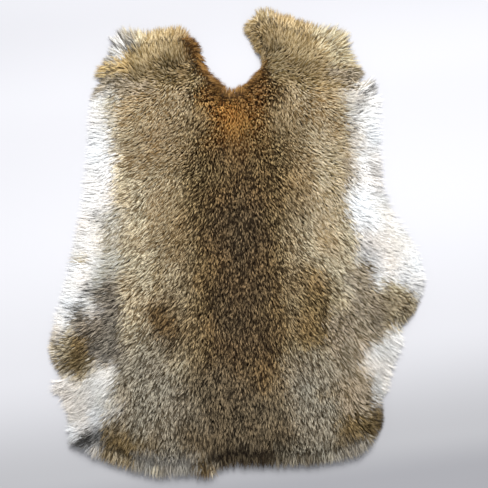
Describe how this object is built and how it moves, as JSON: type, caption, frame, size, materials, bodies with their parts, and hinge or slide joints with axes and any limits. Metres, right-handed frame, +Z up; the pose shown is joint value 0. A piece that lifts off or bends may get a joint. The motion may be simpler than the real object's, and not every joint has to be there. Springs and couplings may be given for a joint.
{
  "type": "rabbit skin pelt",
  "caption": "Tanned rabbit skin with its fur on, laid flat fur side up, with two cheek lobes beside a neck notch, leg patches at the sides and a small tail tuft.",
  "frame": {"origin": "middle of the pelt's footprint, on the floor that it lies on", "axes": "+Y along the back towards the head end, +X to the right seen from the fur side, +Z up out of the fur"},
  "size_m": [0.3264, 0.4044, 0.0164],
  "materials": {
    "tanned_skin": "suede flesh side, matt cream",
    "rabbit_fur": "soft brown-grey ticked fur with white rims"
  },
  "bodies": {
    "root": {"skin": "tanned_skin", "fur": "rabbit_fur"}
  },
  "joints": []
}
